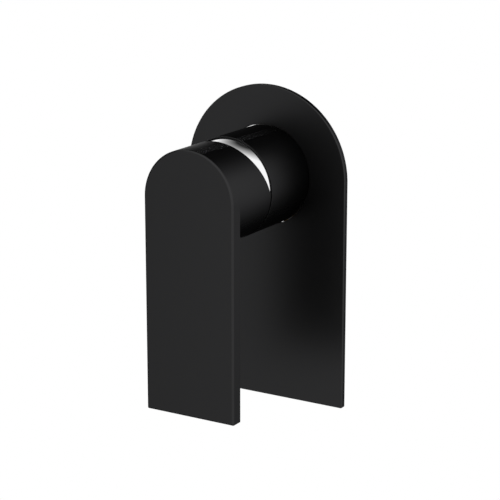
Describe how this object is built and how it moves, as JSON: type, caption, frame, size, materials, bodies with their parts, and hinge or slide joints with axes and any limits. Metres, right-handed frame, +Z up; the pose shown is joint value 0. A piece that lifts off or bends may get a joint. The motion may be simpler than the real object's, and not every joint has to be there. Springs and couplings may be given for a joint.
{
  "type": "shower mixer",
  "caption": "Wall-mounted single-lever shower mixer: arch cover plate, round sleeve, lever handle that lifts for flow and turns for temperature, in-wall valve body.",
  "frame": {"origin": "where the valve's axis meets the finished wall, on the back face of the cover plate", "axes": "+X to the user's right, +Y into the wall along the valve's axis, +Z up"},
  "size_m": [0.0866, 0.1032, 0.1539],
  "materials": {
    "satin_black": "satin black electroplated or powder-coated metal",
    "chrome": "bright chrome plate",
    "brass": "cast and turned brass",
    "steel": "plain steel",
    "white_plastic": "moulded",
    "grey_plastic": "moulded",
    "black_plastic": "moulded",
    "ceramic": "ground and lapped ceramic",
    "rubber": "soft rubber",
    "foam_rubber": "closed-cell foam strip"
  },
  "bodies": {
    "fixed_valve": {"cover_plate": "satin_black", "plate_gasket": "foam_rubber", "sleeve": "satin_black", "sleeve_seals": "rubber", "ball_cap": "chrome", "cartridge_nut": "brass", "cartridge_housing": "white_plastic", "glide_washer": "grey_plastic", "fixed_disc": "ceramic", "disc_seal": "rubber", "cartridge_base": "white_plastic", "base_seals": "rubber", "valve_body": "brass", "outlet_plug": "brass", "plug_seal": "rubber"},
    "turning_carrier": {"cartridge_rotor": "grey_plastic", "pivot_pin": "steel"},
    "lever": {"handle": "satin_black", "handle_grub_screw": "steel", "grub_screw_cap": "black_plastic", "spindle": "steel"},
    "disc_slider": {"disc_driver": "grey_plastic", "moving_disc": "ceramic"}
  },
  "joints": [
    {"name": "turn", "type": "hinge", "parent": "fixed_valve", "child": "turning_carrier", "pos_m": [0, -0.0302, 0], "axis": [0, -1, 0], "range_deg": [-50, 50]},
    {"name": "lift", "type": "hinge", "parent": "turning_carrier", "child": "lever", "pos_m": [0, -0.0302, 0], "axis": [-1, 0, 0], "range_deg": [0, 20]},
    {"name": "disc_slide", "type": "slide", "parent": "turning_carrier", "child": "disc_slider", "axis": [0, 0, -1], "range_m": [0, 0.00343]}
  ],
  "couplings": [
    {"joint": "disc_slide", "follows": "lift", "m_per_rad": 0.0098}
  ]
}
